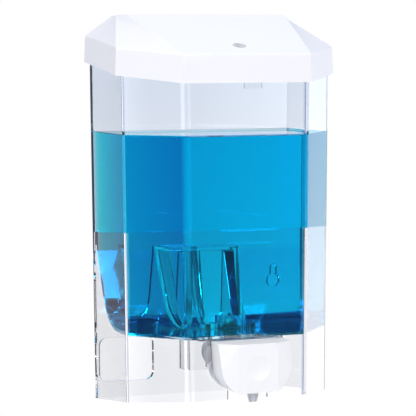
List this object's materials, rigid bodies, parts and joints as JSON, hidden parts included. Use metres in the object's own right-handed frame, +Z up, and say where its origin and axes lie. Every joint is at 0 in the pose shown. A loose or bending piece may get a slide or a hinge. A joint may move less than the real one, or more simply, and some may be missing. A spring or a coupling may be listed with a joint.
{
  "type": "wall mounted soap dispenser",
  "caption": "clear half-octagon soap tank on a wall plate, with a hinged locking white lid and a white push button that works a piston pump over a small nozzle",
  "frame": {"origin": "on the wall face, midway between the two keyhole heads", "axes": "+Z up, -Y out of the wall towards the user, +Y into the wall, +X to the right for someone facing the dispenser"},
  "size_m": [0.1264, 0.1055, 0.2162],
  "materials": {
    "clear_plastic": "clear moulded plastic, polished",
    "clear_tub": "clear moulded plastic, polished",
    "soap_liquid": "clear blue liquid soap",
    "lid_white": "white moulded plastic, satin",
    "button_white": "white moulded plastic, satin",
    "pump_white": "white moulded plastic, smooth",
    "nozzle_grey": "light grey moulded plastic",
    "seal_rubber": "black rubber",
    "valve_silicone": "milky silicone",
    "pin_steel": "stainless steel pin",
    "screw_steel": "zinc plated steel",
    "spring_steel": "stainless spring wire",
    "lock_dark": "dark grey moulded plastic"
  },
  "bodies": {
    "housing": {"casing": "clear_plastic", "tank_base": "clear_tub", "liquid_soap": "soap_liquid", "hinge_pins": "pin_steel", "lock_strike": "clear_plastic", "pump_body": "pump_white", "barrel_cap": "pump_white", "rod_seal": "seal_rubber", "inlet_seal": "seal_rubber", "inlet_valve": "valve_silicone", "inlet_strainer": "pump_white", "pump_screws": "screw_steel", "return_spring": "spring_steel"},
    "push_button": {"button": "button_white", "piston": "pump_white", "piston_seal": "seal_rubber", "nozzle": "nozzle_grey", "outlet_valve": "valve_silicone", "button_clip": "screw_steel"},
    "lid": {"lid": "lid_white"},
    "lock": {"lock_rotor": "lock_dark", "lock_cam": "screw_steel", "cam_screw": "screw_steel"}
  },
  "joints": [
    {"name": "button_press", "type": "slide", "parent": "housing", "child": "push_button", "axis": [0, 1, 0], "range_m": [0, 0.007], "stiffness_N_per_m": 400, "springref_m": -0.004, "deforming": ["return_spring"]},
    {"name": "lid_hinge", "type": "hinge", "parent": "housing", "child": "lid", "pos_m": [0, -0.0057, 0.1431], "axis": [-1, 0, 0], "range_deg": [0, 85]},
    {"name": "lock_turn", "type": "hinge", "parent": "lid", "child": "lock", "pos_m": [0, -0.078, 0.13151], "axis": [0, -0.3285, 0.9445], "range_deg": [0, 90]}
  ]
}
